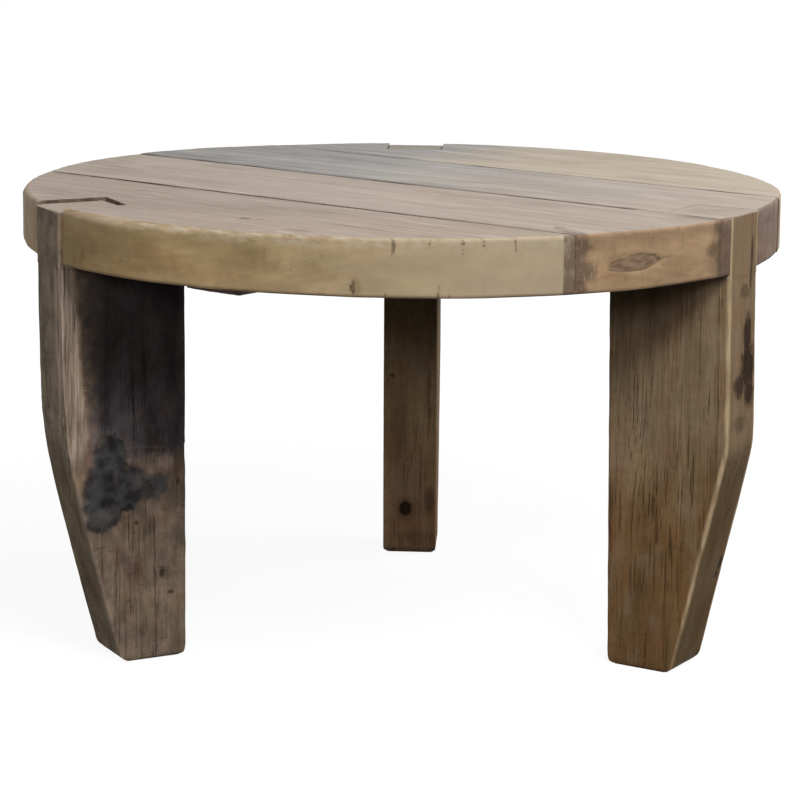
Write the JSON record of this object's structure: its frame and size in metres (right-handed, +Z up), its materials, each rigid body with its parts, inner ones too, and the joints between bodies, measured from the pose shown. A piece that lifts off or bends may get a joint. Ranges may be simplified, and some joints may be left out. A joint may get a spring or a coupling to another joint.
{
  "type": "round three-legged low table",
  "caption": "Low round table with a thick planked top and slab legs let into open notches in its rim, in worn reclaimed hardwood.",
  "frame": {"origin": "on the floor under the centre of the round top", "axes": "+Z up; +X to the right and +Y away from the viewer in the pictured view, where the left and right legs stand in front and the back leg behind"},
  "size_m": [0.8, 0.7999, 0.475],
  "materials": {
    "top_wood": "old hardwood, worn greyish beige, dry matt wax",
    "grey_top_wood": "old hardwood, weathered grey, dry matt wax",
    "leg_wood": "old hardwood, dark grey-brown, cracked, dry wax",
    "stained_leg_wood": "old hardwood with a split face and a black tarry stain",
    "batten_wood": "dark brown stained hardwood",
    "dowel_wood": "plain hardwood dowel",
    "screw_steel": "plain zinc-plated steel"
  },
  "bodies": {
    "root": {"top_plank_front": "top_wood", "top_plank_mid_front": "top_wood", "top_plank_mid_back": "grey_top_wood", "top_plank_back": "top_wood", "leg_left": "stained_leg_wood", "leg_right": "leg_wood", "leg_back": "leg_wood", "cross_batten": "batten_wood", "batten_screws": "screw_steel", "edge_dowels_front": "dowel_wood", "edge_dowels_middle": "dowel_wood", "edge_dowels_back": "dowel_wood", "leg_dowels_left": "dowel_wood", "leg_dowels_right": "dowel_wood", "leg_dowels_back": "dowel_wood"}
  },
  "joints": []
}
